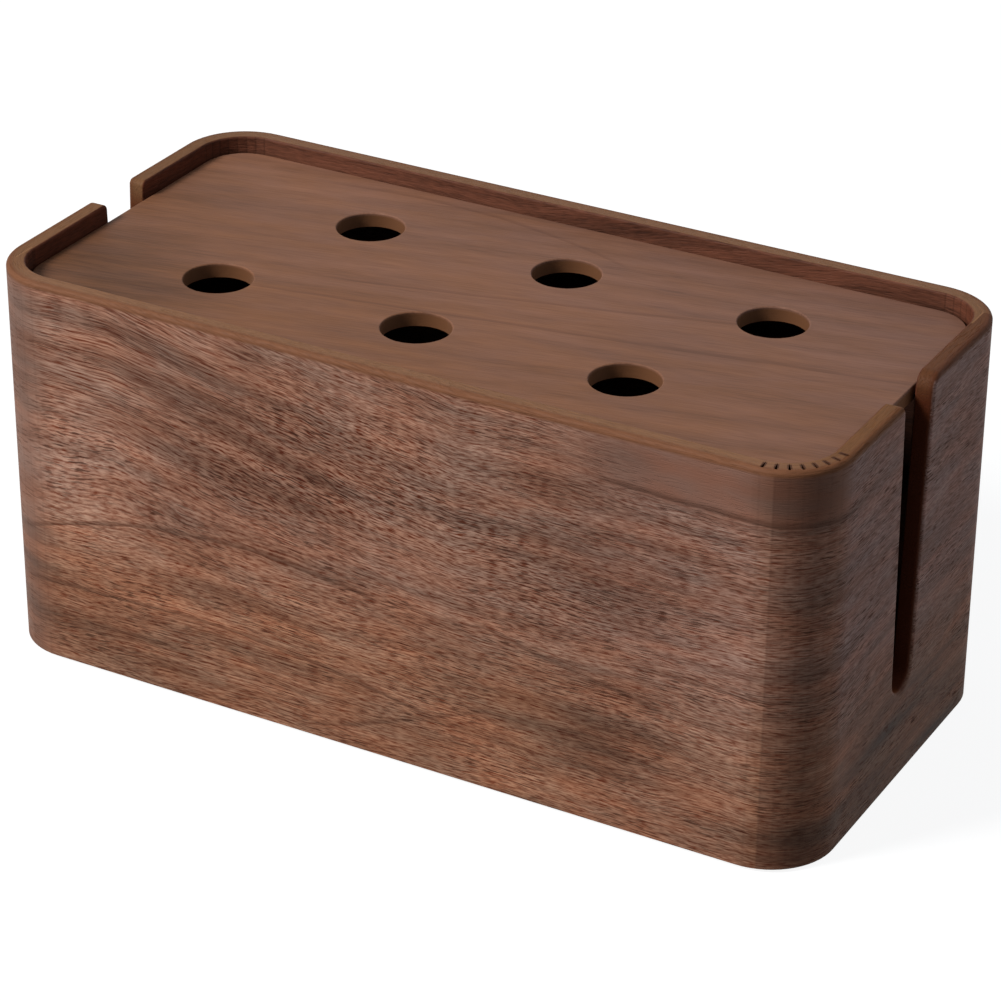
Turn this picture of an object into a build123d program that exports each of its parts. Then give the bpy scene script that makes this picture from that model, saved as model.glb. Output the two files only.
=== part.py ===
from build123d import *
import os
from math import asin, ceil, cos, degrees, hypot, radians, sin, tan

# Wooden cable box. Two boards, each kerf-bent round two corners, are lapped
# and glued into the wall. A bottom board sits in a groove near the
# wall's lower edge, and a loose lid with six cable holes lies on two ledges
# below the rim. A tapered cable slot is sawn into each short side.
#
# Origin: on the surface that the box stands on, under its middle.
# +X runs along the length, +Y from front to back, +Z up. Millimetres.

os.makedirs("parts", exist_ok=True)

# ---- Wall ----
box_length = 330.0
box_depth = 160.0
wall_height = 152.0
board_thickness = 7.0
bend_radius = 25.0  # outer face of a bend
kerf_count = 8  # saw kerfs in a bend
kerf_skin = 1.5  # wood left outside the kerfs
kerf_closed = 0.9  # stretch at the inner face where a kerf's lips meet
kerf_fill = 3.0  # glue and sawdust below the rim, in every bend but one
lap_length = 10.0  # lap that joins the boards, past the end of a short side
lap_step = 1.2  # how far the lap's face lies outside the wall's inner face
rim_round = 1.7  # outer arris of the rim and of the slots
rim_break = 0.8  # inner arris of the rim

# ---- Cable slots ----
slot_top_width = 23.5
slot_foot_width = 15.0
slot_depth = 116.5  # from the rim to the slot's foot
slot_shift = 2.5  # off the middle of the short side
right_mouth_near = 3.5  # the rim's round into the right slot, on its front side
right_mouth_far = 5.5
left_mouth_radius = 2.4

# ---- Lid ----
lid_thickness = 5.5
lid_recess = 6.0  # from the rim to the lid's top
lid_clearance = 1.5
lid_round = 0.6
hole_diameter = 25.4
hole_pitch = 82.0
hole_columns = 3
hole_row_spacing = 66.0
hole_row_shift = 12.0  # each row is shifted this far, in opposite ways
hole_round = 0.5

# ---- Ledges under the lid ----
ledge_width = 8.0
ledge_height = 9.0
ledge_end_gap = 12.0  # from the end of the bend
ledge_chamfer = 3.5

# ---- Bottom board ----
bottom_thickness = 6.0
bottom_inset = 1.0  # from the wall's lower edge up to the board
bottom_gap = 0.3
tongue_thickness = 3.0
tongue_rise = 2.0  # from the board's underside up to the tongue
groove_depth = 2.5
groove_play = 0.2

# ---- Foot pads ----
foot_stand = 1.5  # the pads lift the wall this far off the table
foot_diameter = 18.0
foot_inset = 26.0  # from the outer faces to a pad's centre
foot_round = 0.5

# ---- Worked out from the sizes above ----
half_length = box_length / 2
half_depth = box_depth / 2
inner_length = box_length - 2 * board_thickness
inner_depth = box_depth - 2 * board_thickness
inner_radius = bend_radius - board_thickness
bend_x = half_length - bend_radius
bend_y = half_depth - bend_radius
kerf_pitch = 90.0 / kerf_count
facet_radius = inner_radius / cos(radians(kerf_pitch / 2))
rim_z = foot_stand + wall_height
bottom_z = foot_stand + bottom_inset
tongue_z = bottom_z + tongue_rise
lid_top_z = rim_z - lid_recess
lid_under_z = lid_top_z - lid_thickness
on_face = 0.001  # how near a point is to the face that it lies on


def depth_in_wall(point):
    """Depth of a point of the wall below the wall's outer face."""
    past_x = max(abs(point.X) - bend_x, 0.0)
    past_y = max(abs(point.Y) - bend_y, 0.0)
    return bend_radius - hypot(past_x, past_y)


def lies_at_depth(edge, depth, slack=on_face):
    """True where a whole edge runs along the wall at one depth."""
    return all(abs(depth_in_wall(edge @ part_way) - depth) < slack for part_way in (0, 0.5, 1))


def edges_to_ease(wall_part):
    """Edges of the rim and of the slot, without the upright ends and the foot."""
    above_foot = wall_part.edges().filter_by(lambda edge: edge.center().Z > foot_stand + on_face)
    return above_foot.filter_by(Axis.Z, reverse=True)


# A kerf-bent corner stays flat between its kerfs, so the inner outline has a
# corner point at each kerf and every flat touches the inner radius.
inner_outline = []
for centre_x, centre_y, start_angle in (
    (bend_x, bend_y, 0),
    (-bend_x, bend_y, 90),
    (-bend_x, -bend_y, 180),
    (bend_x, -bend_y, 270),
):
    for kerf in range(kerf_count):
        turn = radians(start_angle + (kerf + 0.5) * kerf_pitch)
        corner_x = centre_x + facet_radius * cos(turn)
        corner_y = centre_y + facet_radius * sin(turn)
        inner_outline.append((corner_x, corner_y))

# ---- Bent boards ----
# Both are drawn as the front board, which runs from the front left bend along
# the front, round the front right bend and along the right side. Its end there
# runs on straight into the next bend and laps over the other board, which is
# thinned to a tongue. The back board is then turned half round.
lap_x = half_length - board_thickness + lap_step
lap_y = bend_y + lap_length
lap_kerfs = ceil(degrees(asin(lap_length / (bend_radius - kerf_skin))) / kerf_pitch)
beyond = half_length + board_thickness

with BuildSketch() as board_plan:
    RectangleRounded(box_length, box_depth, bend_radius)
    Polygon(*inner_outline, mode=Mode.SUBTRACT)
    Polygon(
        (-beyond, -beyond),
        (beyond, -beyond),
        (beyond, lap_y),
        (lap_x, lap_y),
        (lap_x, bend_y),
        (0, bend_y),
        (0, -bend_y),
        (-lap_x, -bend_y),
        (-lap_x, -lap_y),
        (-beyond, -lap_y),
        mode=Mode.INTERSECT,
    )

for board_name, half_turn, mouth_radii, fills in (
    ("front_board", 0, (right_mouth_near, right_mouth_far), (kerf_fill, 0)),
    ("back_board", 180, (left_mouth_radius, left_mouth_radius), (kerf_fill, kerf_fill)),
):
    with BuildPart() as bent_board:
        with BuildSketch(Plane.XY.offset(foot_stand)):
            add(board_plan.sketch)
        extrude(amount=wall_height)

        # Cable slot: tapered, with a full round at its foot.
        slot_foot_radius = slot_foot_width / 2
        slot_foot_centre = (-slot_shift, rim_z - slot_depth + slot_foot_radius)
        mouth_y = [side * slot_top_width / 2 - slot_shift for side in (-1, 1)]
        with BuildSketch(Plane.YZ.offset(half_length - board_thickness / 2)):
            with BuildLine():
                CenterArc(slot_foot_centre, slot_foot_radius, 0, 360)
                Line((mouth_y[0], rim_z), (mouth_y[1], rim_z))
            make_hull()
        extrude(amount=board_thickness, both=True, mode=Mode.SUBTRACT)

        # The rim rolls down into the slot on both sides.
        for side_y, mouth_radius in zip(mouth_y, mouth_radii):
            rim_edges = bent_board.edges().filter_by(Axis.X).group_by(Axis.Z)[-1]
            fillet(rim_edges.filter_by_position(Axis.Y, side_y - on_face, side_y + on_face), mouth_radius)

        # Eased arrises along the rim and round the slot, never at the lapped ends.
        outer_arrises = edges_to_ease(bent_board).filter_by(lambda edge: lies_at_depth(edge, 0))
        fillet(outer_arrises, rim_round)
        facet_rise = facet_radius - inner_radius + on_face
        inner_arrises = edges_to_ease(bent_board).filter_by(
            lambda edge: lies_at_depth(edge, board_thickness, facet_rise)
        )
        fillet(inner_arrises, rim_break)

        # Groove for the bottom board.
        with BuildSketch(Plane.XY.offset(tongue_z)):
            RectangleRounded(
                inner_length + 2 * groove_depth,
                inner_depth + 2 * groove_depth,
                inner_radius + groove_depth,
            )
        extrude(amount=tongue_thickness + groove_play, mode=Mode.SUBTRACT)

        # Bending closes each kerf at the inner face and leaves it open at the
        # skin, as wide as it was sawn. The tongue is thin enough without kerfs.
        kerf_tip = facet_radius + kerf_closed
        kerf_foot = bend_radius - kerf_skin
        kerf_half_width = (kerf_foot - inner_radius) * tan(radians(kerf_pitch / 2))
        for centre_x, start_angle, left_out, fill in (
            (-bend_x, 180, lap_kerfs, fills[0]),
            (bend_x, 270, 0, fills[1]),
        ):
            kerfs = kerf_count - left_out
            first_angle = start_angle + (left_out + 0.5) * kerf_pitch
            with BuildSketch(Plane.XY.offset(foot_stand)):
                with Locations((centre_x, -bend_y)):
                    with PolarLocations(0, kerfs, first_angle, kerfs * kerf_pitch):
                        Polygon((kerf_tip, 0), (kerf_foot, -kerf_half_width), (kerf_foot, kerf_half_width))
            extrude(amount=wall_height - fill, mode=Mode.SUBTRACT)

    with BuildPart() as board:
        add(bent_board.part, rotation=(0, 0, half_turn))
    board.part.label = board_name
    export_step(board.part, f"parts/{board_name}.step")

# ---- Bottom board ----
# Its tongue fills the wall's groove all the way round.
with BuildPart() as bottom_board:
    with BuildSketch(Plane.XY.offset(bottom_z)):
        RectangleRounded(
            inner_length - 2 * bottom_gap,
            inner_depth - 2 * bottom_gap,
            inner_radius - bottom_gap,
        )
    extrude(amount=bottom_thickness)
    with BuildSketch(Plane.XY.offset(tongue_z)):
        RectangleRounded(
            inner_length + 2 * (groove_depth - bottom_gap),
            inner_depth + 2 * (groove_depth - bottom_gap),
            inner_radius + groove_depth - bottom_gap,
        )
    extrude(amount=tongue_thickness)
bottom_board.part.label = "bottom_board"
export_step(bottom_board.part, "parts/bottom_board.step")

# ---- Ledges ----
# A strip glued along each long wall. The chamfer below lets plugs slide past.
ledge_length = 2 * (bend_x - ledge_end_gap)
ledge_y = inner_depth / 2 - ledge_width
for ledge_name, side in (("front_ledge", -1), ("back_ledge", 1)):
    with BuildPart() as ledge:
        with BuildSketch(Plane.YZ.offset(-ledge_length / 2)):
            with BuildLine():
                Polyline(
                    (side * inner_depth / 2, lid_under_z),
                    (side * inner_depth / 2, lid_under_z - ledge_height),
                    (side * (ledge_y + ledge_chamfer), lid_under_z - ledge_height),
                    (side * ledge_y, lid_under_z - ledge_height + ledge_chamfer),
                    (side * ledge_y, lid_under_z),
                    close=True,
                )
            make_face()
        extrude(amount=ledge_length)
    ledge.part.label = ledge_name
    export_step(ledge.part, f"parts/{ledge_name}.step")

# ---- Lid ----
with BuildPart() as lid:
    with BuildSketch(Plane.XY.offset(lid_under_z)):
        RectangleRounded(
            inner_length - 2 * lid_clearance,
            inner_depth - 2 * lid_clearance,
            inner_radius - lid_clearance,
        )
    extrude(amount=lid_thickness)
    fillet(lid.edges().group_by(Axis.Z)[-1], lid_round)
    for row_side in (-1, 1):
        with Locations((row_side * hole_row_shift, row_side * hole_row_spacing / 2, lid_top_z)):
            with GridLocations(hole_pitch, 0, hole_columns, 1):
                Hole(hole_diameter / 2)
    hole_edges = lid.edges().group_by(Axis.Z)[-1].filter_by(lambda edge: edge.is_closed)
    fillet(hole_edges, hole_round)
lid.part.label = "lid"
export_step(lid.part, "parts/lid.step")

# ---- Foot pads ----
# Round pads stuck under the bottom board, one near each corner.
for end_name, end_side in (("left", -1), ("right", 1)):
    for row_name, row_side in (("front", -1), ("back", 1)):
        foot_name = f"foot_{row_name}_{end_name}"
        foot_x = end_side * (half_length - foot_inset)
        foot_y = row_side * (half_depth - foot_inset)
        with BuildPart() as foot:
            with BuildSketch():
                with Locations((foot_x, foot_y)):
                    Circle(foot_diameter / 2)
            extrude(amount=bottom_z)
            fillet(foot.edges().group_by(Axis.Z)[0], foot_round)
        foot.part.label = foot_name
        export_step(foot.part, f"parts/{foot_name}.step")
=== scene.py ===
import math

import bmesh
import bpy
from mathutils import Matrix, Vector


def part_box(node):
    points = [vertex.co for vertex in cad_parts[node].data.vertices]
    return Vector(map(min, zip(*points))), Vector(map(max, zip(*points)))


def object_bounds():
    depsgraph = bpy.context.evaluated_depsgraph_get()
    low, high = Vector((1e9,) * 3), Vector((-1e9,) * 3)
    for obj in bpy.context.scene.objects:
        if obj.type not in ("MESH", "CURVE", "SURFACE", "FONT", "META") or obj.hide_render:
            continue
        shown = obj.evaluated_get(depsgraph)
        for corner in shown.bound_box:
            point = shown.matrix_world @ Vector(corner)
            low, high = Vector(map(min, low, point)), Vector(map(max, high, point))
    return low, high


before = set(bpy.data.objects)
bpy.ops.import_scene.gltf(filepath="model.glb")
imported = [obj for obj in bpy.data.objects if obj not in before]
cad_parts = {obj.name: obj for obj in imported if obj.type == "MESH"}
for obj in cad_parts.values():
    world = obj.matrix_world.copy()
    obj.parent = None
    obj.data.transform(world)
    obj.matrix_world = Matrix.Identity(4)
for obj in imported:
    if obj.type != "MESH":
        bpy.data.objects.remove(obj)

bl_info = {
    "name": "Cable box",
    "version": (1, 0, 0),
    "blender": (4, 5, 0),
    "location": "3D View > Sidebar > Cable box",
    "description": "Wood finishes and a studio for a cable box with kerf-bent corners",
    "category": "Object",
}

CAD_BOX = [list(corner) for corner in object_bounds()]
METRE = 1000.0  # millimetres

# The box as it was built, in millimetres. The wall is unrolled with these.
HALF_LENGTH = CAD_BOX[1][0] * METRE
HALF_DEPTH = CAD_BOX[1][1] * METRE
RIM_HEIGHT = CAD_BOX[1][2] * METRE
LID_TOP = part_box("lid")[1][2] * METRE
BEND_RADIUS = 25.0
BOARD_THICKNESS = 7.0
KERFS_IN_BEND = 8
LAP_STEP = 1.2
LAP_LENGTH = 10.0
SLOT_SHIFT = 2.5  # off the middle of the short side
BEND_X = HALF_LENGTH - BEND_RADIUS
BEND_Y = HALF_DEPTH - BEND_RADIUS
BEND_ARC = BEND_RADIUS * math.pi / 2
BEND_END = BEND_X + BEND_ARC  # along the board, where the short side begins
KERF_PITCH = BEND_ARC / KERFS_IN_BEND
SLOT_AT = BEND_END + BEND_Y - SLOT_SHIFT  # along the board
LAP_X = HALF_LENGTH - BOARD_THICKNESS + LAP_STEP
GLUE_LINE = 0.5  # width of the glue line in the lap

# Oiled wood mirrors little.
WOOD_IOR = 1.45
OIL_SHEEN = 0.12

# In the upper half of a board the fibres lean.
LEAN = 0.17  # how far they fall for each millimetre along the board
LEAN_HEIGHTS = (45.0, 115.0)  # where the lean begins and where it is full
LEAN_REACH = (-110.0, 30.0)  # from and to, along the board
LID_TURN = math.radians(-11)  # of the lid's grain from its long edge

# Year lines: a point on the line along and across the grain, its slope and bow
# there, where it starts and ends along the grain, and its strength.
FRONT_LINES = (
    (127.0, 134.0, -0.02, 0.0, 74.0, 195.0, 0.85),
    (-60.0, 70.0, 0.0, -0.002, -160.0, 5.0, 0.7),
    (41.0, 66.0, -0.21, 0.0, 30.0, 120.0, 0.6),
    (-90.0, 34.9, 0.0, -0.001, -160.0, 30.0, 0.65),
    (-19.0, 8.5, 0.30, 0.0015, -40.0, 52.0, 0.55),
    (130.0, 67.0, 0.02, 0.0, 92.0, 235.0, 0.5),
    (200.0, 104.0, -0.05, 0.0, 176.0, 232.0, 0.45),
    (262.0, 87.0, 0.04, 0.0, 244.0, 296.0, 0.5),
)
BACK_LINES = (
    (0.0, 118.0, 0.01, -0.0004, -170.0, 180.0, 0.8),
    (-30.0, 84.0, 0.03, 0.0003, -170.0, 120.0, 0.7),
    (60.0, 41.0, -0.06, 0.0006, -60.0, 290.0, 0.7),
    (210.0, 120.0, 0.05, 0.0, 150.0, 300.0, 0.6),
)
LID_LINES = (
    (-77.0, -31.75, 0.183, 0.0, -88.0, 165.0, 0.75),
    (-49.5, -10.5, 0.235, 0.0002, -66.0, 112.0, 0.75),
    (-60.0, 65.0, 0.0, -0.00225, -112.0, 34.0, 0.6),
    (-147.0, -44.0, 0.25, 0.0, -160.0, -112.0, 0.4),
)
# A year line is soft on the side of the early wood and sharp on the other: how
# far off the line it is 0 and how far off it is full. Along the grain it fades.
LINE_SOFT_EDGE = (2.6, 0.2)
LINE_SHARP_EDGE = (-0.7, -0.1)
LINE_FADE = 18.0

# Places: the middle along and across the grain, half the length and half the
# width, and the change there: in lightness, in how curly the grain is, or in
# hue, where more is cooler.
CURLS = (
    (-100.0, 130.0, 66.0, 34.0, -0.45),
    (-25.0, 112.0, 80.0, 32.0, 0.5),
    (-60.0, 24.0, 60.0, 20.0, -0.2),
    (60.0, 88.0, 46.0, 22.0, 0.3),
)
HUES = (
    (-52.0, 100.0, 58.0, 62.0, -0.4),
    (-110.0, 38.0, 28.0, 24.0, -0.25),
    (-134.0, 88.0, 26.0, 26.0, 0.35),
    (30.0, 112.0, 30.0, 18.0, 0.25),
    (138.0, 52.0, 34.0, 40.0, 0.35),
)
LID_PLACES = (
    (-140.0, -62.0, 70.0, 54.0, -0.38),
    (-150.0, 0.0, 44.0, 60.0, -0.12),
    (0.0, 5.0, 80.0, 40.0, 0.08),
    (-110.0, 64.0, 60.0, 30.0, 0.18),
)
FRONT_PLACES = (
    (-127.0, 86.0, 40.0, 50.0, 0.26),
    (-118.0, 68.0, 44.0, 24.0, 0.14),
    (-112.0, 14.0, 46.0, 24.0, -0.22),
    (-42.0, 108.0, 64.0, 25.0, -0.27),
    (42.0, 10.0, 24.0, 11.0, 0.2),
    (146.0, 62.0, 12.0, 70.0, 0.08),
    (-98.0, 40.0, 60.0, 9.0, 0.14),
    (72.0, 84.0, 20.0, 9.0, 0.16),
    (12.0, 68.0, 20.0, 9.0, 0.18),
    (-50.0, 58.0, 20.0, 9.0, 0.16),
    (90.0, 146.0, 20.0, 7.0, -0.16),
    (88.0, 112.0, 60.0, 34.0, -0.12),
    (80.0, 34.0, 60.0, 26.0, -0.16),
    (127.0, 60.0, 22.0, 46.0, 0.14),
    (-54.0, 145.5, 15.0, 6.0, -0.32),
    (86.0, 30.0, 16.0, 13.0, -0.16),
    (156.0, 145.0, 24.0, 14.0, -0.33),
    (112.0, 144.0, 40.0, 10.0, -0.12),
    # Painted shade: the foot of the right short side, darker towards the floor.
    (232.0, 0.0, 94.0, 60.0, -0.66),
)
# A place fades out between these shares of its half length and half width.
PLACE_EDGE = 1.15
PLACE_CORE = 0.35

# What differs between the two boards: the turn that brings the back board onto
# the front one, where its wood was cut, its lines and places, how calm the band
# under the rim is at the right end, how dark the kerfs' edges are, and the tint
# of its rim: on the long side, on the short one up to the slot, and past it.
BOARDS = {
    "front_board": {
        "turn": 0.0,
        "cut": (37.0, 12.0, 0.0),
        "lines": FRONT_LINES,
        "places": FRONT_PLACES,
        "calm": 1.0,
        "open_kerfs": 0.85,
        "rims": ((1.0, 1.0, 1.0), (0.7, 0.62, 0.46), (0.45, 0.33, 0.24)),
    },
    "back_board": {
        "turn": math.pi,
        "cut": (911.0, 340.0, 0.0),
        "lines": BACK_LINES,
        "places": (),
        "calm": 0.0,
        "open_kerfs": 0.0,
        "rims": ((0.86, 0.87, 0.88), (0.7, 0.66, 0.55), (0.8, 0.76, 0.66)),
    },
}

# The studio: the floor in metres, its grey as the box sees it and as the camera
# does, how much of the seen floor glows, and how brightly.
FLOOR_HALF_WIDTH = 6.0
FLOOR_GREY = "#6c6c6c"
FLOOR_SEEN = (0.8, 0.8, 0.8)
GLOW_SHARE = 0.8
GLOW = 1.12
# Lamps: the setting that holds the power, the colour, the width, and the place.
LAMPS = {
    "key_lamp": ("key_power", (1.0, 1.0, 1.0), 1.1, (-1.78, -2.21, 2.29)),
    "fill_lamp": ("fill_power", (0.62, 0.78, 1.0), 0.6, (0.95, 0.35, 0.85)),
}
LAMPS_AIM = (0.0, 0.0, 0.08)
SENSOR_WIDTH = 36.0  # millimetres


def linear(hex_colour):
    """An sRGB hex colour as linear red, green and blue."""
    channels = [int(hex_colour[i : i + 2], 16) / 255 for i in (1, 3, 5)]
    return [c / 12.92 if c <= 0.04045 else ((c + 0.055) / 1.055) ** 2.4 for c in channels]


def add_node(tree, kind, inputs=None, **settings):
    """Adds a node. Each input has its name or number, and a value or the socket to link."""
    made = tree.nodes.new(kind)
    for setting, value in settings.items():
        setattr(made, setting, value)
    for key, value in (inputs or {}).items():
        if isinstance(value, bpy.types.NodeSocket):
            tree.links.new(value, made.inputs[key])
        else:
            made.inputs[key].default_value = value
    return made


def new_material(name, old_slot):
    """An empty node material under a finish's name, which keeps the slot's viewport colour."""
    made = bpy.data.materials.new(name)
    made.use_nodes = True
    made.node_tree.nodes.clear()
    made.diffuse_color = old_slot.diffuse_color if old_slot else (0.5, 0.5, 0.5, 1)
    return made


def finish_node(node_name, material):
    """Gives a CAD node its finish."""
    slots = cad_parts[node_name].material_slots
    if not slots:
        raise RuntimeError(f"{node_name} has no material slot")
    for each in slots:
        each.material = material


# ---- Steps that several finishes share ----


def add_shares(tree, value, shares):
    """Socket with a value to which a share of each given socket is added."""
    for socket, share in shares:
        value = add_node(
            tree, "ShaderNodeMath", {0: socket, 1: share, 2: value}, operation="MULTIPLY_ADD"
        ).outputs[0]
    return value


def lay_coats(tree, colour, coats):
    """Colour with coats over it. A coat has where it lies, from 0 to 1, its cover and a colour."""
    for where, cover, coat in coats:
        strength = add_node(
            tree, "ShaderNodeMath", {0: where, 1: cover}, operation="MULTIPLY"
        ).outputs[0]
        colour = add_node(
            tree, "ShaderNodeMix", {0: strength, 6: colour, 7: (*coat, 1)}, data_type="RGBA"
        ).outputs[2]
    return colour


def tint(tree, colour, tints):
    """Colour multiplied by tints. A tint turns from its first to its second colour."""
    for turned, first, second in tints:
        between = add_node(
            tree, "ShaderNodeMix", {0: turned, 6: (*first, 1), 7: (*second, 1)}, data_type="RGBA"
        ).outputs[2]
        colour = add_node(
            tree, "ShaderNodeVectorMath", {0: colour, 1: between}, operation="MULTIPLY"
        ).outputs["Vector"]
    return colour


def place_in_mm(tree):
    """Socket with the place on the piece, in mm."""
    point = add_node(tree, "ShaderNodeTexCoord").outputs["Object"]
    return add_node(
        tree, "ShaderNodeVectorMath", {0: point, "Scale": METRE}, operation="SCALE"
    ).outputs["Vector"]


def change_at_places(tree, place, value, places):
    """Socket with a value that is raised or lowered at each of the places."""
    for at, across, half_length, half_width, change in places:
        off = add_node(
            tree, "ShaderNodeVectorMath", {0: place, 1: (at, across, 0.0)}, operation="SUBTRACT"
        ).outputs["Vector"]
        scaled = add_node(
            tree,
            "ShaderNodeVectorMath",
            {0: off, 1: (1 / half_length, 1 / half_width, 0.0)},
            operation="MULTIPLY",
        ).outputs["Vector"]
        out = add_node(
            tree, "ShaderNodeVectorMath", {0: scaled}, operation="LENGTH"
        ).outputs["Value"]
        near = add_node(
            tree,
            "ShaderNodeMapRange",
            {"Value": out, "From Min": PLACE_EDGE, "From Max": PLACE_CORE, "To Max": change},
            interpolation_type="SMOOTHSTEP",
        ).outputs["Result"]
        value = add_node(tree, "ShaderNodeMath", {0: value, 1: near}, operation="ADD").outputs[0]
    return value


# ---- Patterns that several finishes share ----


def board_unroller():
    """Node group: a point of the wall to (along the board, height, depth below the outer face).

    It takes metres and gives mm. It unrolls the front board: 0 is the middle of
    the front, and the bends are measured on their outer face, so grain runs
    round the corners unbroken.
    """
    if "Unrolled board" in bpy.data.node_groups:
        return bpy.data.node_groups["Unrolled board"]
    tree = bpy.data.node_groups.new("Unrolled board", "ShaderNodeTree")
    tree.interface.new_socket("Point", in_out="INPUT", socket_type="NodeSocketVector")
    tree.interface.new_socket("Unrolled", in_out="OUTPUT", socket_type="NodeSocketVector")
    tree.interface.new_socket("Lap", in_out="OUTPUT", socket_type="NodeSocketFloat")
    point = add_node(tree, "NodeGroupInput").outputs["Point"]
    in_mm = add_node(
        tree, "ShaderNodeVectorMath", {0: point, "Scale": METRE}, operation="SCALE"
    ).outputs["Vector"]
    axes = add_node(tree, "ShaderNodeSeparateXYZ", {0: in_mm}).outputs
    known = {"x": axes[0], "y": axes[1], "z": axes[2]}
    for name, operation, *operands in (
        ("across", "ABSOLUTE", "x"),
        ("beyond_x", "SUBTRACT", "across", BEND_X),
        ("past_x", "MAXIMUM", "beyond_x", 0.0),
        ("up_side", "ADD", "y", BEND_Y),
        ("beyond_y", "MULTIPLY", "up_side", -1.0),
        ("past_front", "MAXIMUM", "beyond_y", 0.0),
        ("turn", "ARCTAN2", "past_x", "past_front"),
        ("on_front", "MINIMUM", "across", BEND_X),
        ("with_bend", "MULTIPLY_ADD", "turn", BEND_RADIUS, "on_front"),
        ("on_side", "MAXIMUM", "up_side", 0.0),
        ("run", "ADD", "with_bend", "on_side"),
        ("end", "SIGN", "x"),
        ("along", "MULTIPLY", "run", "end"),
        # Depth, in the bends at both ends of the short sides too.
        ("either_y", "ABSOLUTE", "y"),
        ("over_y", "SUBTRACT", "either_y", BEND_Y),
        ("past_y", "MAXIMUM", "over_y", 0.0),
        ("square_x", "MULTIPLY", "past_x", "past_x"),
        ("square", "MULTIPLY_ADD", "past_y", "past_y", "square_x"),
        ("radius", "SQRT", "square"),
        ("depth", "SUBTRACT", BEND_RADIUS, "radius"),
        # The glue line of the lap, in two opposite corners.
        ("off_lap", "SUBTRACT", "across", LAP_X),
        ("near_lap", "COMPARE", "off_lap", 0.0, GLUE_LINE / 2),
        ("lapped_y", "MULTIPLY", "y", "end"),
        ("from_lap", "SUBTRACT", "lapped_y", BEND_Y + LAP_LENGTH / 2),
        ("in_lap", "COMPARE", "from_lap", 0.0, LAP_LENGTH / 2),
        ("lap", "MULTIPLY", "near_lap", "in_lap"),
    ):
        inputs = {i: known.get(operand, operand) for i, operand in enumerate(operands)}
        known[name] = add_node(tree, "ShaderNodeMath", inputs, operation=operation).outputs[0]
    unrolled = add_node(
        tree, "ShaderNodeCombineXYZ", {0: known["along"], 1: known["z"], 2: known["depth"]}
    )
    add_node(tree, "NodeGroupOutput", {"Unrolled": unrolled.outputs[0], "Lap": known["lap"]})
    return tree


def wood_figure():
    """Node group: the figure of a board whose grain runs along the first axis of a place in mm.

    Wander is how far the grain strays across, in mm. The others run from 0 to 1.
    Pores are drawn about 0.5 mm wide, twice their real width, so that they show.
    """
    if "Wood figure" in bpy.data.node_groups:
        return bpy.data.node_groups["Wood figure"]
    tree = bpy.data.node_groups.new("Wood figure", "ShaderNodeTree")
    tree.interface.new_socket("Place", in_out="INPUT", socket_type="NodeSocketVector")
    tree.interface.new_socket("Curl", in_out="INPUT", socket_type="NodeSocketFloat")
    outputs = ("Wander", "Tone", "Hue", "Fibre", "Pores")
    for output in outputs:
        tree.interface.new_socket(output, in_out="OUTPUT", socket_type="NodeSocketFloat")
    given = add_node(tree, "NodeGroupInput").outputs

    # The grain strays in waves: length and width of a wave in mm, and how far it
    # sways. Wander leaves out the longest, so that year lines stay where they are put.
    made = {}
    stray = 0.0
    for length, width, sway in ((14.0, 5.0, 1.0), (60.0, 20.0, 4.5), (190.0, 80.0, 9.0)):
        made["Wander"] = stray
        scaled = add_node(
            tree,
            "ShaderNodeVectorMath",
            {0: given["Place"], 1: (1 / length, 1 / width, 1 / width)},
            operation="MULTIPLY",
        ).outputs["Vector"]
        wave = add_node(
            tree, "ShaderNodeTexNoise", {"Vector": scaled, "Scale": 1.0, "Detail": 1.0}
        ).outputs["Fac"]
        centred = add_node(
            tree, "ShaderNodeMath", {0: wave, 1: 0.5}, operation="SUBTRACT"
        ).outputs[0]
        stray = add_shares(tree, stray, ((centred, sway),))
    aside = add_node(tree, "ShaderNodeCombineXYZ", {1: stray}).outputs[0]
    flow = add_node(
        tree, "ShaderNodeVectorMath", {0: given["Place"], 1: aside}, operation="ADD"
    ).outputs["Vector"]

    # Noises along the straying grain: length and width in mm, detail, where 0 and where 1.
    for name, length, width, detail, low, high in (
        ("Tone", 80.0, 7.0, 4.0, 0.34, 0.66),
        ("Hue", 30.0, 10.0, 3.0, 0.36, 0.64),
        ("Long fibre", 13.0, 0.62, 3.0, 0.355, 0.6),
        ("Short fibre", 4.0, 0.62, 3.0, 0.355, 0.6),
        ("Density", 40.0, 14.0, 2.0, 0.3, 0.6),
        ("Dashes", 6.5, 0.54, 1.0, 0.54, 0.65),
    ):
        scaled = add_node(
            tree,
            "ShaderNodeVectorMath",
            {0: flow, 1: (1 / length, 1 / width, 1 / width)},
            operation="MULTIPLY",
        ).outputs["Vector"]
        noise = add_node(
            tree, "ShaderNodeTexNoise", {"Vector": scaled, "Scale": 1.0, "Detail": detail}
        ).outputs["Fac"]
        made[name] = add_node(
            tree, "ShaderNodeMapRange", {"Value": noise, "From Min": low, "From Max": high}
        ).outputs["Result"]

    # Where the grain curls, the fibres come out of the face and look shorter.
    made["Fibre"] = add_node(
        tree, "ShaderNodeMix", {0: given["Curl"], 2: made["Long fibre"], 3: made["Short fibre"]}
    ).outputs[0]
    made["Pores"] = add_node(
        tree, "ShaderNodeMath", {0: made["Dashes"], 1: made["Density"]}, operation="MULTIPLY"
    ).outputs[0]
    add_node(tree, "NodeGroupOutput", {output: made[output] for output in outputs})
    return tree


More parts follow.
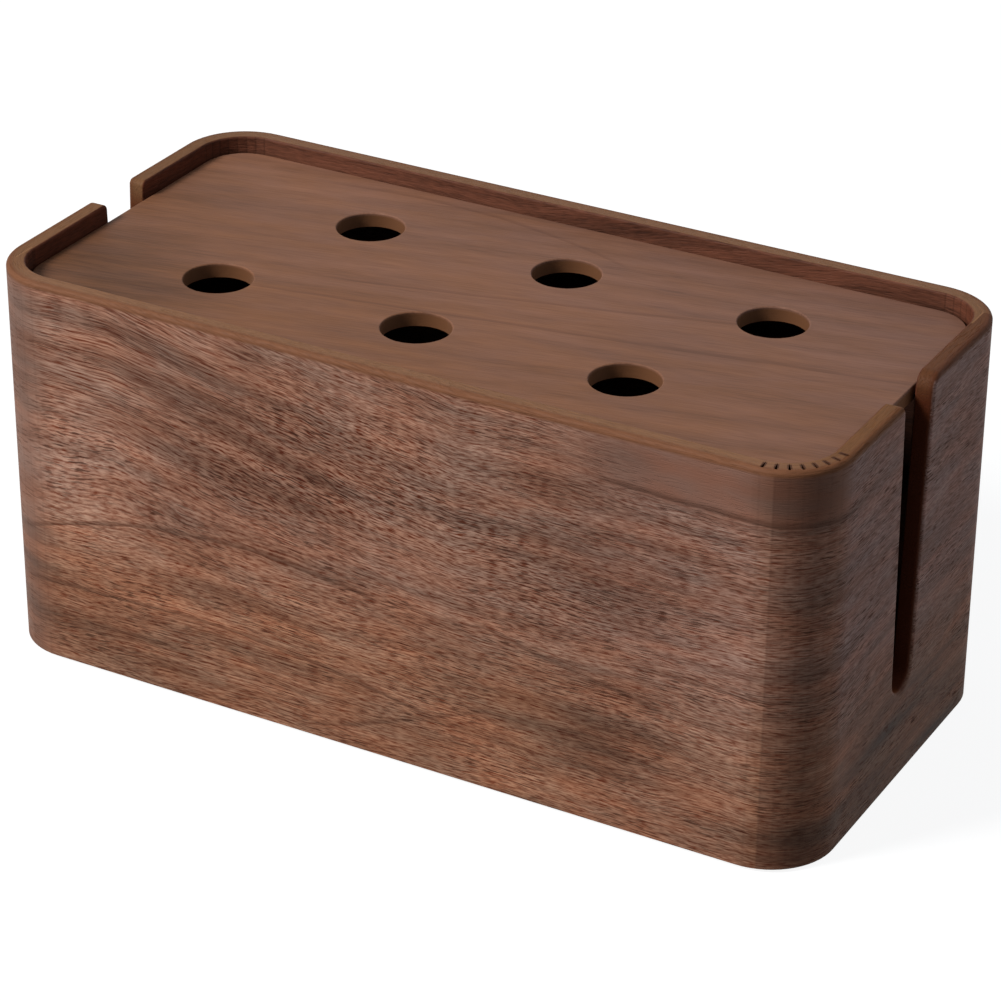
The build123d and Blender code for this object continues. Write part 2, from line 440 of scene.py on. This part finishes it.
def year_lines(tree, along, across, lines):
    """Socket with the dark lines where each year's wood ends."""
    strongest = 0.0
    for at, height, slope, bow, start, end, strength in lines:
        known = {"along": along, "across": across}
        for name, operation, *operands in (
            ("on", "SUBTRACT", "along", at),
            ("rise", "MULTIPLY_ADD", "on", bow, slope),
            ("line", "MULTIPLY_ADD", "on", "rise", height),
            ("off", "SUBTRACT", "across", "line"),
        ):
            inputs = {i: known.get(operand, operand) for i, operand in enumerate(operands)}
            known[name] = add_node(tree, "ShaderNodeMath", inputs, operation=operation).outputs[0]
        drawn = strength
        for measured, low, high in (
            ("off", *LINE_SOFT_EDGE),
            ("off", *LINE_SHARP_EDGE),
            ("along", start, start + LINE_FADE),
            ("along", end, end - LINE_FADE),
        ):
            ramp = add_node(
                tree,
                "ShaderNodeMapRange",
                {"Value": known[measured], "From Min": low, "From Max": high},
                interpolation_type="SMOOTHSTEP",
            ).outputs["Result"]
            drawn = add_node(
                tree, "ShaderNodeMath", {0: ramp, 1: drawn}, operation="MULTIPLY"
            ).outputs[0]
        strongest = add_node(
            tree, "ShaderNodeMath", {0: drawn, 1: strongest}, operation="MAXIMUM"
        ).outputs[0]
    return strongest


# ---- Settings ----


class BoardFinish(bpy.types.PropertyGroup):
    """Oiled, open-pored wood of the bent boards."""

    warm: bpy.props.FloatVectorProperty(
        name="Warm wood", description="The orange-brown wood towards the lower edge",
        subtype="COLOR", min=0, max=1, default=linear("#835840"),
    )
    rose: bpy.props.FloatVectorProperty(
        name="Rose wood", description="The purple-brown wood towards the rim",
        subtype="COLOR", min=0, max=1, default=linear("#7e5845"),
    )
    # The year lines' colour is also used for the painted shade along the kerfs of the bends.
    dark: bpy.props.FloatVectorProperty(
        name="Year lines", description="The dark lines where a year's wood ends",
        subtype="COLOR", min=0, max=1, default=linear("#3f261b"),
    )
    pore: bpy.props.FloatVectorProperty(
        name="Pores", description="The open pores, filled with oil, and the kerfs' edges",
        subtype="COLOR", min=0, max=1, default=linear("#381e13"),
    )
    edge: bpy.props.FloatVectorProperty(
        name="Sawn edges", description="The rim",
        subtype="COLOR", min=0, max=1, default=linear("#76533b"),
    )
    # End grain is darker, and this colour also holds painted shade: the sawn faces darken further
    # below the rim.
    end: bpy.props.FloatVectorProperty(
        name="End grain and painted shade", description="The faces of the slot, which drink most oil",
        subtype="COLOR", min=0, max=1, default=linear("#5c3018"),
    )
    arris: bpy.props.FloatVectorProperty(
        name="Outer arris", description="The rounded outer edge, sanded through to redder wood",
        subtype="COLOR", min=0, max=1, default=linear("#6c4630"),
    )
    inside: bpy.props.FloatVectorProperty(
        name="Inner face", description="The inner face, dark with glue and oil",
        subtype="COLOR", min=0, max=1, default=linear("#5a3526"),
    )
    # Painted shade: the inner face darkens below the lid, inside the closed box.
    stain: bpy.props.FloatVectorProperty(
        name="Painted shade under the lid", description="The painted shade inside the box, below the lid",
        subtype="COLOR", min=0, max=1, default=linear("#321c13"),
    )
    skin: bpy.props.FloatVectorProperty(
        name="Bent skin", description="The thin skin over the saw kerfs, soaked with glue",
        subtype="COLOR", min=0, max=1, default=linear("#5c3a2c"),
    )
    # Painted reflection: the grey sheen of the left bend, whose face is seen at a grazing angle.
    painted_sheen_skin: bpy.props.FloatVectorProperty(
        name="Painted sheen skin", description="The skin of the other bend, grey with a painted sheen",
        subtype="COLOR", min=0, max=1, default=linear("#61473a"),
    )
    glue: bpy.props.FloatVectorProperty(
        name="Glue line", description="Dried glue in the lap",
        subtype="COLOR", min=0, max=1, default=linear("#8a6446"),
    )
    roughness: bpy.props.FloatProperty(
        name="Roughness", description="Of the oiled face",
        subtype="FACTOR", min=0, max=1, default=0.62,
    )
    pore_roughness: bpy.props.FloatProperty(
        name="Pore roughness", description="Of the open pores",
        subtype="FACTOR", min=0, max=1, default=0.85,
    )
    pore_depth: bpy.props.FloatProperty(
        name="Pore depth", description="How deep the open pores look",
        subtype="DISTANCE", unit="LENGTH", min=0, default=0.00022,
    )


class LidFinish(bpy.types.PropertyGroup):
    """Oiled, sanded wood of the lid."""

    warm: bpy.props.FloatVectorProperty(
        name="Warm wood", description="The wood at the front left",
        subtype="COLOR", min=0, max=1, default=linear("#744c32"),
    )
    cool: bpy.props.FloatVectorProperty(
        name="Cool wood", description="The wood at the back right",
        subtype="COLOR", min=0, max=1, default=linear("#705043"),
    )
    dark: bpy.props.FloatVectorProperty(
        name="Year lines", description="The dark lines where a year's wood ends, and the pores",
        subtype="COLOR", min=0, max=1, default=linear("#4b2f23"),
    )
    sawn: bpy.props.FloatVectorProperty(
        name="Sawn edges", description="The walls of the holes and the outer edges",
        subtype="COLOR", min=0, max=1, default=linear("#62402a"),
    )
    roughness: bpy.props.FloatProperty(
        name="Roughness", description="Of the sanded face",
        subtype="FACTOR", min=0, max=1, default=0.55,
    )


class InnerFinish(bpy.types.PropertyGroup):
    """Stained wood of the boards inside the box."""

    wood: bpy.props.FloatVectorProperty(
        name="Stained wood", description="The lightest wood",
        subtype="COLOR", min=0, max=1, default=linear("#4a2d1f"),
    )
    streak: bpy.props.FloatVectorProperty(
        name="Streaks", description="The darker streaks along the grain",
        subtype="COLOR", min=0, max=1, default=linear("#38211a"),
    )
    fibre: bpy.props.FloatVectorProperty(
        name="Fibres", description="The fibres that took up more stain",
        subtype="COLOR", min=0, max=1, default=linear("#2c1912"),
    )
    pore: bpy.props.FloatVectorProperty(
        name="Pores", description="The open pores, filled with stain",
        subtype="COLOR", min=0, max=1, default=linear("#24140f"),
    )
    roughness: bpy.props.FloatProperty(
        name="Roughness", description="Of the stained face",
        subtype="FACTOR", min=0, max=1, default=0.7,
    )


class PadFinish(bpy.types.PropertyGroup):
    """Moulded rubber of the foot pads."""

    dark: bpy.props.FloatVectorProperty(
        name="Dark rubber", description="The hollows of the moulded face",
        subtype="COLOR", min=0, max=1, default=linear("#1b1a19"),
    )
    light: bpy.props.FloatVectorProperty(
        name="Light rubber", description="The tops of the moulded face",
        subtype="COLOR", min=0, max=1, default=linear("#2c2a28"),
    )
    grit: bpy.props.FloatProperty(
        name="Grit", description="Width of the grit in the moulded face",
        subtype="DISTANCE", unit="LENGTH", min=0.0001, default=0.0006,
    )
    roughness: bpy.props.FloatProperty(
        name="Roughness", description="Of the moulded face",
        subtype="FACTOR", min=0, max=1, default=0.85,
    )


class StageSettings(bpy.types.PropertyGroup):
    """The studio and its camera."""

    lens: bpy.props.FloatProperty(
        name="Lens", description="Focal length",
        subtype="DISTANCE_CAMERA", unit="CAMERA", default=130.19,
    )
    eye: bpy.props.FloatVectorProperty(
        name="Eye", description="Where the camera stands",
        subtype="XYZ", unit="LENGTH", default=(0.56502, -1.01546, 0.68930),
    )
    aim: bpy.props.FloatVectorProperty(
        name="Aim", description="The point at the middle of the picture",
        subtype="XYZ", unit="LENGTH", default=(-0.01491, 0.03387, 0.04729),
    )
    roll: bpy.props.FloatProperty(
        name="Roll", description="Turn of the camera about its view",
        subtype="ANGLE", unit="ROTATION", default=math.radians(0.4565),
    )
    key_power: bpy.props.FloatProperty(
        name="Key lamp", description="Power of the lamp at the front left",
        subtype="POWER", unit="POWER", default=166.0,
    )
    fill_power: bpy.props.FloatProperty(
        name="Fill lamp", description="Power of the weak, cool lamp at the back right",
        subtype="POWER", unit="POWER", default=2.6,
    )
    sky: bpy.props.FloatProperty(
        name="Room light", description="Light from all round", min=0, default=0.2
    )


# ---- Pieces ----


def board_parts(tree, board, along, height, depth, grain):
    """Sockets, by name, that are 1 on a part of a board and 0 off it."""
    from_middle = add_node(tree, "ShaderNodeMath", {0: along}, operation="ABSOLUTE").outputs[0]
    kerfs_on = add_shares(tree, -BEND_X / KERF_PITCH, ((from_middle, 1 / KERF_PITCH),))
    towards_kerf = add_node(
        tree, "ShaderNodeMath", {0: kerfs_on, 1: 0.5}, operation="PINGPONG"
    ).outputs[0]
    # What is measured, in mm or, from midway between two kerfs, in pitches, where
    # the part is 0 and where it is 1.
    part = {"calm board": board["calm"]}
    for name, measured, low, high in (
        ("rose", grain, 40.0, 78.0),
        ("skin start", along, BEND_X + 6.9, BEND_X + 7.6),
        ("skin end", along, BEND_X + 35.0, BEND_X + 17.0),
        # The left bend, where a grey sheen is painted.
        ("painted sheen skin", along, -BEND_X + 4.0, -BEND_X - 9.0),
        ("above line", grain, 130.0, 136.0),
        ("right third", along, 60.0, 105.0),
        ("before bend", along, BEND_X + 8.0, BEND_X),
        ("before side", along, BEND_END + 6.0, BEND_END - 8.0),
        ("right side", along, BEND_END - 8.0, BEND_END),
        ("off floor", height, 8.0, 62.0),
        ("bend start", from_middle, BEND_X, BEND_X + 1.0),
        ("bend end", from_middle, BEND_END, BEND_END - 1.0),
        ("kerf", towards_kerf, 0.36, 0.48),
        ("kerf mouth", towards_kerf, 0.27, 0.35),
        ("past skin", depth, 1.8, 2.4),
        ("short of lips", depth, 5.6, 4.8),
        ("on right", along, BEND_X, BEND_X + 1.0),
        ("sawn", depth, 0.3, 1.0),
        ("sanded", height, RIM_HEIGHT - 2.8, RIM_HEIGHT - 1.7),
        ("within", depth, 1.6, 3.0),
        ("inside", depth, BOARD_THICKNESS - 0.75, BOARD_THICKNESS - 0.35),
        # Painted shade: sawn faces darken from 3.5 mm to 10 mm below the rim.
        ("painted shade below rim", height, RIM_HEIGHT - 3.5, RIM_HEIGHT - 10.0),
        ("under lid", height, RIM_HEIGHT - 7.0, RIM_HEIGHT - 12.0),
        ("short side", from_middle, BEND_X + 4.0, BEND_END),
        ("past slot", along, SLOT_AT - 1.0, SLOT_AT + 1.0),
    ):
        part[name] = add_node(
            tree, "ShaderNodeMapRange", {"Value": measured, "From Min": low, "From Max": high}
        ).outputs["Result"]
    for name, operation, first, second in (
        ("skin", "MULTIPLY", "skin start", "skin end"),
        ("bend", "MULTIPLY", "bend start", "bend end"),
        # Crease: painted shade along each kerf on a bend's outer face; on the inner face it marks
        # the closed kerfs.
        ("crease", "MULTIPLY", "kerf", "bend"),
        ("closed kerf", "MULTIPLY", "crease", "inside"),
        ("edge", "MAXIMUM", "sawn", "sanded"),
        ("deep", "MULTIPLY", "sawn", "painted shade below rim"),
        ("kerf side", "MULTIPLY", "kerf mouth", "bend"),
        ("right kerf side", "MULTIPLY", "kerf side", "on right"),
        ("beside kerf", "MULTIPLY", "right kerf side", "past skin"),
        ("lining", "MULTIPLY", "beside kerf", "short of lips"),
        ("at right", "MULTIPLY", "right third", "calm board"),
        ("band", "MULTIPLY", "above line", "at right"),
        ("calm", "MULTIPLY", "band", "before side"),
        # A cool sheen painted on the short side, fading towards the floor.
        ("painted sheen side", "MULTIPLY", "right side", "off floor"),
        ("cool end", "MULTIPLY", "at right", "before bend"),
    ):
        part[name] = add_node(
            tree, "ShaderNodeMath", {0: part[first], 1: part[second]}, operation=operation
        ).outputs[0]
    return part


def board_material(name, board, settings, old_slot):
    """Oiled walnut, sawn and kerf-bent: matt, open pores, warm sawn edges, dark inside."""
    made = new_material(name, old_slot)
    tree = made.node_tree
    point = add_node(tree, "ShaderNodeTexCoord").outputs["Object"]
    turned = add_node(
        tree, "ShaderNodeMapping", {"Vector": point, "Rotation": (0, 0, board["turn"])}
    ).outputs["Vector"]
    unrolled = add_node(tree, "ShaderNodeGroup", node_tree=board_unroller())
    tree.links.new(turned, unrolled.inputs["Point"])
    place = unrolled.outputs["Unrolled"]
    along, height, depth = add_node(tree, "ShaderNodeSeparateXYZ", {0: place}).outputs

    # In the upper half the fibres lean: they fall as they go along the board.
    lean = add_node(
        tree,
        "ShaderNodeMapRange",
        {
            "Value": height,
            "From Min": LEAN_HEIGHTS[0],
            "From Max": LEAN_HEIGHTS[1],
            "To Max": LEAN,
        },
        interpolation_type="SMOOTHSTEP",
    ).outputs["Result"]
    reach = add_node(
        tree, "ShaderNodeClamp", {0: along, 1: LEAN_REACH[0], 2: LEAN_REACH[1]}
    ).outputs[0]
    leant = add_shares(tree, height, ((reach, lean),))
    leaning = add_node(tree, "ShaderNodeCombineXYZ", {0: along, 1: leant, 2: depth}).outputs[0]
    shifted = add_node(
        tree, "ShaderNodeVectorMath", {0: leaning, 1: board["cut"]}, operation="ADD"
    ).outputs["Vector"]
    curl = change_at_places(tree, place, 0.6, CURLS)
    figure = add_node(tree, "ShaderNodeGroup", node_tree=wood_figure())
    tree.links.new(shifted, figure.inputs["Place"])
    tree.links.new(curl, figure.inputs["Curl"])
    look = figure.outputs
    grain = add_shares(tree, height, ((look["Wander"], 1.0),))
    part = board_parts(tree, board, along, height, depth, grain)

    # The oiled outer face. The skin over the kerfs took up glue from behind. On each board's left
    # bend a grey sheen is painted, and along the kerfs of both bends a faint painted shade.
    colour = lay_coats(
        tree,
        (*settings.warm, 1),
        (
            (part["rose"], 1.0, settings.rose),
            (part["skin"], 0.5, settings.skin),
            (part["painted sheen skin"], 0.75, settings.painted_sheen_skin),
            # Painted shade along the kerfs.
            (part["crease"], 0.12, settings.dark),
        ),
    )
    # How light it is: streaks, which the calm band lacks, and lighter and darker places; on the
    # front board one of them is a painted shade at the foot of the right short side.
    tone = add_node(
        tree, "ShaderNodeMix", {0: part["calm"], 2: look["Tone"], 3: 0.5}
    ).outputs[0]
    light = add_shares(tree, 0.76, ((tone, 0.6),))
    light = change_at_places(tree, place, light, board["places"])
    colour = add_node(
        tree, "ShaderNodeVectorMath", {0: colour, "Scale": light}, operation="SCALE"
    ).outputs["Vector"]
    # On planed-smooth wood, under the painted grey sheen of the left bend, and on the short sides,
    # the fibres stand out less.
    calm = add_node(
        tree,
        "ShaderNodeMath",
        {0: part["calm"], 1: part["painted sheen skin"], 2: 0.2},
        operation="SMOOTH_MAX",
    ).outputs[0]
    quiet = add_node(
        tree, "ShaderNodeMath", {0: part["short side"], 1: 0.3}, operation="MULTIPLY"
    ).outputs[0]
    quiet = add_node(
        tree, "ShaderNodeMath", {0: quiet, 1: calm}, operation="MAXIMUM"
    ).outputs[0]
    fibre = add_node(
        tree, "ShaderNodeMix", {0: quiet, 2: look["Fibre"], 3: 0.55}
    ).outputs[0]
    # Redder and greyer places, a cool grey sheen painted on the short side that fades towards the
    # floor, and fibres, which are redder where dark.
    colour = tint(
        tree,
        colour,
        (
            (
                change_at_places(tree, place, look["Hue"], HUES),
                (1.04, 0.95, 0.89),
                (0.96, 1.05, 1.11),
            ),
            (part["painted sheen side"], (1.0, 1.0, 1.0), (0.92, 0.98, 1.14)),
            (part["cool end"], (1.0, 1.0, 1.0), (1.0, 1.01, 1.06)),
            (fibre, (0.36, 0.1, 0.0), (1.44, 1.73, 1.98)),
        ),
    )
    # Pores show most on the short sides and where the grain curls, and less on the calm band and
    # under the painted grey sheen of the left bend.
    oiled = add_shares(
        tree,
        0.45,
        (
            (part["short side"], 0.25),
            (curl, 0.45),
            (part["calm"], -0.7),
            (part["painted sheen skin"], -0.45),
        ),
    )
    lines = year_lines(tree, along, grain, board["lines"])
    colour = lay_coats(
        tree, colour, ((lines, 0.75, settings.dark), (look["Pores"], oiled, settings.pore))
    )

    # Sawn edges and the inner face, by depth below the outer face. Further down, the sawn faces
    # turn to the dark end-grain colour, which is partly painted shade.
    sawn = lay_coats(
        tree,
        (*settings.arris, 1),
        ((part["within"], 1.0, settings.edge), (part["deep"], 1.0, settings.end)),
    )
    long_rim, side_rim, far_rim = board["rims"]
    rim = lay_coats(
        tree,
        (*long_rim, 1),
        ((part["short side"], 1.0, side_rim), (part["past slot"], 1.0, far_rim)),
    )
    sawn = add_node(
        tree, "ShaderNodeVectorMath", {0: sawn, 1: rim}, operation="MULTIPLY"
    ).outputs["Vector"]
    # Below the lid the inner face is darkened with painted shade.
    inner = lay_coats(
        tree, (*settings.inside, 1), ((part["under lid"], 1.0, settings.stain),)
    )
    # Painted shade: the short sides' inner faces are darker and redder, as if in shade lit by warm
    # bounced light.
    inner = tint(
        tree, inner, ((part["short side"], (0.9, 0.9, 0.92), (0.72, 0.52, 0.42)),)
    )
    fine = add_shares(tree, 0.85, ((look["Fibre"], 0.3),))
    streaked = add_shares(tree, 0.3, ((look["Tone"], 0.7), (look["Fibre"], 0.6)))
    for where, face, shade in (
        (part["edge"], sawn, fine),
        (part["inside"], inner, streaked),
    ):
        shaded = add_node(
            tree, "ShaderNodeVectorMath", {0: face, "Scale": shade}, operation="SCALE"
        ).outputs["Vector"]
        colour = add_node(
            tree, "ShaderNodeMix", {0: where, 6: colour, 7: shaded}, data_type="RGBA"
        ).outputs[2]
    colour = lay_coats(
        tree,
        colour,
        (
            (part["closed kerf"], 0.5, settings.pore),
            (part["lining"], board["open_kerfs"], settings.pore),
            (unrolled.outputs["Lap"], 0.6, settings.glue),
        ),
    )

    relief = add_shares(tree, 1.0, ((look["Pores"], -1.0), (look["Fibre"], 0.3)))
    bump = add_node(
        tree,
        "ShaderNodeBump",
        {"Strength": 0.6, "Distance": settings.pore_depth, "Height": relief},
    ).outputs["Normal"]
    rough = add_node(
        tree,
        "ShaderNodeMapRange",
        {
            "Value": look["Pores"],
            "To Min": settings.roughness,
            "To Max": settings.pore_roughness,
        },
    ).outputs["Result"]
    shader = add_node(
        tree,
        "ShaderNodeBsdfPrincipled",
        {
            "Base Color": colour,
            "Roughness": rough,
            "Normal": bump,
            "IOR": WOOD_IOR,
            "Specular IOR Level": OIL_SHEEN,
        },
    )
    add_node(tree, "ShaderNodeOutputMaterial", {"Surface": shader.outputs[0]})
    return made


class CABLEBOX_OT_bent_boards(bpy.types.Operator):
    """Oils the two kerf-bent boards that make the wall"""

    bl_idname = "cablebox.bent_boards"
    bl_label = "Bent boards"

    def execute(self, context):
        settings = context.scene.cable_box_boards
        for node_name, board in BOARDS.items():
            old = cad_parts[node_name].active_material
            title = f"Oiled walnut, kerf-bent {node_name.replace('_', ' ')}"
            finish_node(node_name, board_material(title, board, settings, old))
        return {"FINISHED"}


class CABLEBOX_OT_lid(bpy.types.Operator):
    """Finishes the lift-out lid"""

    bl_idname = "cablebox.lid"
    bl_label = "Lid"

    def execute(self, context):
        # Oiled walnut, sanded smooth: a soft, even face with faint streaks and closed pores.
        settings = context.scene.cable_box_lid
        made = new_material("Oiled walnut, sanded smooth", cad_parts["lid"].active_material)
        tree = made.node_tree
        place = place_in_mm(tree)
        along, across, height = add_node(tree, "ShaderNodeSeparateXYZ", {0: place}).outputs
        turned = add_node(
            tree, "ShaderNodeMapping", {"Vector": place, "Rotation": (0, 0, LID_TURN)}
        ).outputs["Vector"]
        figure = add_node(tree, "ShaderNodeGroup", node_tree=wood_figure())
        tree.links.new(turned, figure.inputs["Place"])
        look = figure.outputs

        # Warmer wood at the front left and cooler wood at the back right.
        towards_back = add_shares(tree, across, ((along, 0.4),))
        cool = add_node(
            tree,
            "ShaderNodeMapRange",
            {"Value": towards_back, "From Min": -110.0, "From Max": 110.0},
        ).outputs["Result"]
        cool = add_node(tree, "ShaderNodeMix", {0: 0.3, 2: cool, 3: look["Hue"]}).outputs[0]
        colour = lay_coats(tree, (*settings.warm, 1), ((cool, 1.0, settings.cool),))
        light = change_at_places(tree, place, 0.74, LID_PLACES)
        light = add_shares(tree, light, ((look["Tone"], 0.26), (look["Fibre"], 0.2)))
        colour = add_node(
            tree, "ShaderNodeVectorMath", {0: colour, "Scale": light}, operation="SCALE"
        ).outputs["Vector"]

        # Year lines, pores, and the sawn walls of the holes and outer edges.
        grain = add_shares(tree, across, ((look["Wander"], 0.5),))
        lines = year_lines(tree, along, grain, LID_LINES)
        sawn = add_node(
            tree,
            "ShaderNodeMapRange",
            {"Value": height, "From Min": LID_TOP - 0.5, "From Max": LID_TOP - 1.3},
        ).outputs["Result"]
        colour = lay_coats(
            tree,
            colour,
            (
                (lines, 0.5, settings.dark),
                (look["Pores"], 0.08, settings.dark),
                (sawn, 1.0, settings.sawn),
            ),
        )
        bump = add_node(
            tree,
            "ShaderNodeBump",
            {"Strength": 0.3, "Distance": 0.00008, "Height": look["Fibre"]},
        ).outputs["Normal"]
        shader = add_node(
            tree,
            "ShaderNodeBsdfPrincipled",
            {
                "Base Color": colour,
                "Roughness": settings.roughness,
                "Normal": bump,
                "IOR": WOOD_IOR,
                "Specular IOR Level": OIL_SHEEN,
            },
        )
        add_node(tree, "ShaderNodeOutputMaterial", {"Surface": shader.outputs[0]})
        finish_node("lid", made)
        return {"FINISHED"}


class CABLEBOX_OT_inner_boards(bpy.types.Operator):
    """Stains the bottom board and the ledges under the lid"""

    bl_idname = "cablebox.inner_boards"
    bl_label = "Inner boards"

    def execute(self, context):
        # Stained walnut: dark and dull, with the stain deepest in the pores.
        settings = context.scene.cable_box_inner
        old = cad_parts["bottom_board"].active_material
        made = new_material("Stained walnut, inner boards", old)
        tree = made.node_tree
        figure = add_node(tree, "ShaderNodeGroup", node_tree=wood_figure())
        tree.links.new(place_in_mm(tree), figure.inputs["Place"])
        look = figure.outputs
        colour = lay_coats(
            tree,
            (*settings.wood, 1),
            (
                (look["Tone"], 1.0, settings.streak),
                (look["Fibre"], 0.4, settings.fibre),
                (look["Pores"], 0.8, settings.pore),
            ),
        )
        shader = add_node(
            tree,
            "ShaderNodeBsdfPrincipled",
            {
                "Base Color": colour,
                "Roughness": settings.roughness,
                "IOR": WOOD_IOR,
                "Specular IOR Level": OIL_SHEEN,
            },
        )
        add_node(tree, "ShaderNodeOutputMaterial", {"Surface": shader.outputs[0]})
        for node_name in ("bottom_board", "front_ledge", "back_ledge"):
            finish_node(node_name, made)
        return {"FINISHED"}


class CABLEBOX_OT_foot_pads(bpy.types.Operator):
    """Moulds the four rubber pads"""

    bl_idname = "cablebox.foot_pads"
    bl_label = "Foot pads"

    def execute(self, context):
        # Moulded rubber: nearly black and matt, with the fine grit of its mould.
        settings = context.scene.cable_box_pads
        names = [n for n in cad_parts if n.startswith("foot_")]
        if len(names) != 4:
            raise RuntimeError("four foot pads are expected")
        made = new_material("Rubber, moulded matt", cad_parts[names[0]].active_material)
        tree = made.node_tree
        point = add_node(tree, "ShaderNodeTexCoord").outputs["Object"]
        grit = add_node(
            tree,
            "ShaderNodeTexNoise",
            {"Vector": point, "Scale": 1 / settings.grit, "Detail": 2.0},
        ).outputs["Fac"]
        colour = lay_coats(tree, (*settings.dark, 1), ((grit, 1.0, settings.light),))
        bump = add_node(
            tree, "ShaderNodeBump", {"Strength": 0.4, "Distance": 0.0001, "Height": grit}
        ).outputs["Normal"]
        shader = add_node(
            tree,
            "ShaderNodeBsdfPrincipled",
            {
                "Base Color": colour,
                "Roughness": settings.roughness,
                "Normal": bump,
                "IOR": 1.52,
            },
        )
        add_node(tree, "ShaderNodeOutputMaterial", {"Surface": shader.outputs[0]})
        for node_name in names:
            finish_node(node_name, made)
        return {"FINISHED"}


class CABLEBOX_OT_stage(bpy.types.Operator):
    """Lays the floor and sets up the lamps, the room light and the camera"""

    bl_idname = "cablebox.stage"
    bl_label = "Stage"

    def execute(self, context):
        settings = context.scene.cable_box_stage
        scene = context.scene
        scene.view_settings.view_transform = "Standard"

        sheet = bmesh.new()
        bmesh.ops.create_grid(sheet, x_segments=1, y_segments=1, size=FLOOR_HALF_WIDTH)
        mesh = bpy.data.meshes.new("floor")
        sheet.to_mesh(mesh)
        sheet.free()
        floor = bpy.data.objects.new("floor", mesh)
        scene.collection.objects.link(floor)
        world = bpy.data.worlds.new("Studio")
        scene.world = world
        world.use_nodes = True
        world.node_tree.nodes.clear()
        paper = new_material("White paper", None)
        mesh.materials.append(paper)

        # The camera, and what mirrors or lets through, sees white. The floor keeps a
        # soft shadow.
        for tree in (paper.node_tree, world.node_tree):
            rays = add_node(tree, "ShaderNodeLightPath").outputs
            seen = rays["Is Camera Ray"]
            for ray in ("Is Glossy Ray", "Is Transmission Ray"):
                seen = add_node(
                    tree, "ShaderNodeMath", {0: seen, 1: rays[ray]}, operation="MAXIMUM"
                ).outputs[0]
            if tree == world.node_tree:
                strength = add_node(
                    tree,
                    "ShaderNodeMapRange",
                    {"Value": seen, "To Min": settings.sky, "To Max": 1.0},
                ).outputs["Result"]
                light = add_node(
                    tree, "ShaderNodeBackground", {"Color": (1, 1, 1, 1), "Strength": strength}
                )
                add_node(tree, "ShaderNodeOutputWorld", {"Surface": light.outputs[0]})
            else:
                glow = add_node(
                    tree, "ShaderNodeMath", {0: seen, 1: GLOW_SHARE}, operation="MULTIPLY"
                ).outputs[0]
                shade = lay_coats(tree, (*linear(FLOOR_GREY), 1), ((seen, 1.0, FLOOR_SEEN),))
                matt = add_node(tree, "ShaderNodeBsdfDiffuse", {"Color": shade})
                white = add_node(
                    tree, "ShaderNodeEmission", {"Color": (1, 1, 1, 1), "Strength": GLOW}
                )
                surface = add_node(
                    tree, "ShaderNodeMixShader", {0: glow, 1: matt.outputs[0], 2: white.outputs[0]}
                )
                add_node(tree, "ShaderNodeOutputMaterial", {"Surface": surface.outputs[0]})

        for name, (power, hue, width, place) in LAMPS.items():
            lamp = bpy.data.lights.new(name, "AREA")
            lamp.shape = "DISK"
            lamp.size = width
            lamp.energy = getattr(settings, power)
            lamp.color = hue
            holder = bpy.data.objects.new(name, lamp)
            scene.collection.objects.link(holder)
            to_box = (Vector(LAMPS_AIM) - Vector(place)).to_track_quat("-Z", "Y")
            holder.matrix_world = Matrix.Translation(place) @ to_box.to_matrix().to_4x4()

        camera_data = bpy.data.cameras.new("camera")
        camera_data.lens = settings.lens
        camera_data.sensor_width = SENSOR_WIDTH
        camera = bpy.data.objects.new("camera", camera_data)
        scene.collection.objects.link(camera)
        eye, aim = Vector(settings.eye), Vector(settings.aim)
        look = (aim - eye).to_track_quat("-Z", "Y").to_matrix()
        look = look @ Matrix.Rotation(settings.roll, 3, "Z")
        camera.matrix_world = Matrix.Translation(eye) @ look.to_4x4()
        scene.camera = camera
        return {"FINISHED"}


class CABLEBOX_PT_panel(bpy.types.Panel):
    """Lists the box's pieces and its stage"""

    bl_idname = "CABLEBOX_PT_panel"
    bl_label = "Cable box"
    bl_space_type = "VIEW_3D"
    bl_region_type = "UI"
    bl_category = "Cable box"

    def draw(self, context):
        for each in OPERATORS:
            self.layout.operator(each.bl_idname)


OPERATORS = (
    CABLEBOX_OT_bent_boards,
    CABLEBOX_OT_lid,
    CABLEBOX_OT_inner_boards,
    CABLEBOX_OT_foot_pads,
    CABLEBOX_OT_stage,
)
SETTINGS = (
    ("cable_box_boards", BoardFinish),
    ("cable_box_lid", LidFinish),
    ("cable_box_inner", InnerFinish),
    ("cable_box_pads", PadFinish),
    ("cable_box_stage", StageSettings),
)
CLASSES = (*[group for _, group in SETTINGS], *OPERATORS, CABLEBOX_PT_panel)


def register():
    for each in CLASSES:
        bpy.utils.register_class(each)
    for name, group in SETTINGS:
        setattr(bpy.types.Scene, name, bpy.props.PointerProperty(type=group))


def unregister():
    for name, _ in SETTINGS:
        delattr(bpy.types.Scene, name)
    for each in reversed(CLASSES):
        bpy.utils.unregister_class(each)


def main():
    register()
    bpy.ops.cablebox.bent_boards()
    bpy.ops.cablebox.lid()
    bpy.ops.cablebox.inner_boards()
    bpy.ops.cablebox.foot_pads()
    bpy.ops.cablebox.stage()


if __name__ == "__main__":
    main()
